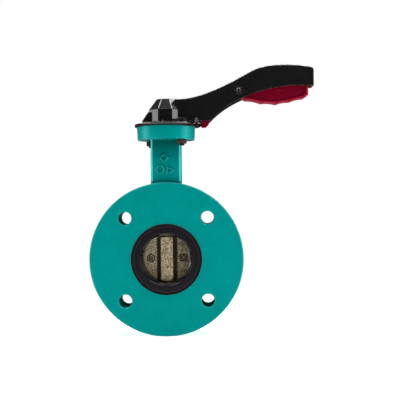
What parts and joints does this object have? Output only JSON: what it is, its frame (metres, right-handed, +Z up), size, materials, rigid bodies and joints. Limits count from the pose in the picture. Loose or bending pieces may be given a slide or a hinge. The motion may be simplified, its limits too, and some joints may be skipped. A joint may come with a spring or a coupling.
{
  "type": "butterfly valve",
  "caption": "Hand-lever butterfly valve: round drilled body with rubber seat and metal disc, long neck, and a lever whose squeeze trigger latches in a notch plate",
  "frame": {"origin": "centre of the valve, where the stem axis crosses the pipe axis", "axes": "+Z up the stem to the lever, Y along the pipe, +X the way the lever points when the valve is shut"},
  "size_m": [0.2431, 0.0714, 0.2911],
  "materials": {
    "body_paint": "glossy teal epoxy coating on cast iron",
    "seat_rubber": "black EPDM, slightly satin",
    "disc_bronze": "as-cast aluminium bronze, grainy and dull",
    "stem_steel": "turned stainless steel",
    "bush_plastic": "off-white PTFE",
    "ring_rubber": "black nitrile",
    "spring_steel": "grey spring steel",
    "zinc_plate": "bright zinc plating",
    "black_steel": "black oxide",
    "brown_steel": "oxide brown, a little rusty",
    "lever_black": "satin black powder coating on cast iron",
    "pin_steel": "plain bright steel",
    "trigger_red": "glossy dark red coating"
  },
  "bodies": {
    "body": {"valve_body": "body_paint", "seat_liner": "seat_rubber", "lower_bush": "bush_plastic", "middle_bush": "bush_plastic", "upper_bush": "bush_plastic", "stem_o_rings": "ring_rubber", "split_ring": "stem_steel", "retaining_ring": "spring_steel", "notch_plate": "zinc_plate", "plate_bolts": "black_steel", "plate_washers": "zinc_plate", "plate_nuts": "brown_steel"},
    "turning": {"stem": "stem_steel", "disc": "disc_bronze", "lever": "lever_black", "lever_screw": "black_steel", "lever_washer": "spring_steel", "pivot_pin": "pin_steel", "pivot_clip": "spring_steel", "trigger_spring": "spring_steel"},
    "squeezing": {"trigger": "trigger_red"}
  },
  "joints": [
    {"name": "stem_turn", "type": "hinge", "parent": "body", "child": "turning", "pos_m": [0, 0, 0], "axis": [0, 0, 1], "range_deg": [0, 90]},
    {"name": "trigger_squeeze", "type": "hinge", "parent": "turning", "child": "squeezing", "pos_m": [0.079, 0, 0.181], "axis": [0, -1, 0], "range_deg": [0, 8], "stiffness_Nm_per_rad": 2, "springref_deg": -5.73, "deforming": ["trigger_spring"]}
  ]
}
